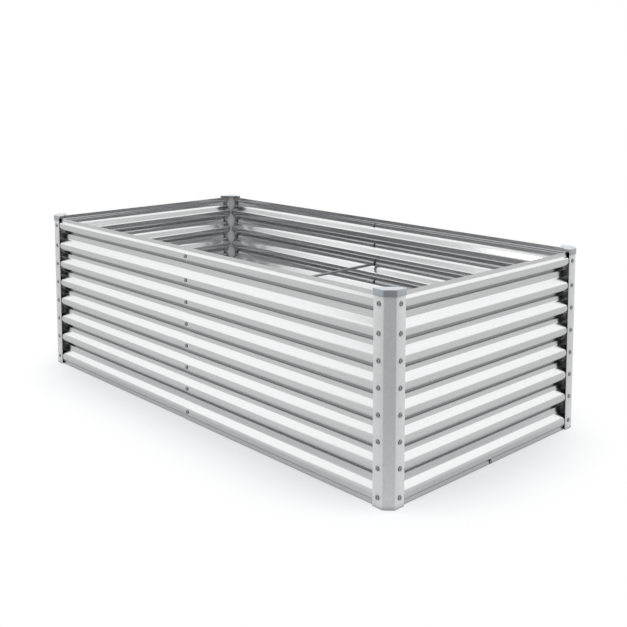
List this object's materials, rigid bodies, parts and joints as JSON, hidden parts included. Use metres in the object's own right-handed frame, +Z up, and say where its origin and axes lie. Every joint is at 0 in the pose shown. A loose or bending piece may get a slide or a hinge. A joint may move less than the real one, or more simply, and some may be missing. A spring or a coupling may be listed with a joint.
{
  "type": "raised garden bed",
  "caption": "Rectangular raised garden bed of horizontally corrugated steel panels bolted between four chamfered corner posts with caps, open at top and bottom.",
  "frame": {"origin": "middle of the base, on the plane that the bed stands on", "axes": "+X along the long sides, +Y across the bed, +Z up"},
  "size_m": [1.836, 0.921, 0.6],
  "materials": {
    "galvanised_sheet": "bright galvanised, satin",
    "post_steel": "galvanised, matt satin",
    "cap_plastic": "light blue-grey, satin",
    "fastener_steel": "zinc plated"
  },
  "bodies": {
    "root": {"back_inner_panel": "galvanised_sheet", "back_left_cap": "cap_plastic", "back_left_post": "post_steel", "back_outer_panel": "galvanised_sheet", "back_right_cap": "cap_plastic", "back_right_post": "post_steel", "back_seam_bolt_1": "fastener_steel", "back_seam_bolt_2": "fastener_steel", "back_seam_bolt_3": "fastener_steel", "back_seam_bolt_4": "fastener_steel", "back_seam_bolt_5": "fastener_steel", "back_seam_bolt_6": "fastener_steel", "back_seam_bolt_7": "fastener_steel", "back_seam_bolt_8": "fastener_steel", "back_seam_nut_1": "fastener_steel", "back_seam_nut_2": "fastener_steel", "back_seam_nut_4": "fastener_steel", "back_seam_nut_5": "fastener_steel", "back_seam_nut_7": "fastener_steel", "back_seam_nut_8": "fastener_steel", "front_inner_panel": "galvanised_sheet", "front_left_cap": "cap_plastic", "front_left_post": "post_steel", "front_outer_panel": "galvanised_sheet", "front_right_cap": "cap_plastic", "front_right_post": "post_steel", "front_seam_bolt_1": "fastener_steel", "front_seam_bolt_2": "fastener_steel", "front_seam_bolt_3": "fastener_steel", "front_seam_bolt_4": "fastener_steel", "front_seam_bolt_5": "fastener_steel", "front_seam_bolt_6": "fastener_steel", "front_seam_bolt_7": "fastener_steel", "front_seam_bolt_8": "fastener_steel", "front_seam_nut_1": "fastener_steel", "front_seam_nut_2": "fastener_steel", "front_seam_nut_4": "fastener_steel", "front_seam_nut_5": "fastener_steel", "front_seam_nut_7": "fastener_steel", "front_seam_nut_8": "fastener_steel", "left_bolt": "fastener_steel", "left_nut": "fastener_steel", "left_panel": "galvanised_sheet", "right_bolt": "fastener_steel", "right_nut": "fastener_steel", "right_panel": "galvanised_sheet", "tie_rod_1": "fastener_steel", "tie_rod_2": "fastener_steel"}
  },
  "joints": []
}
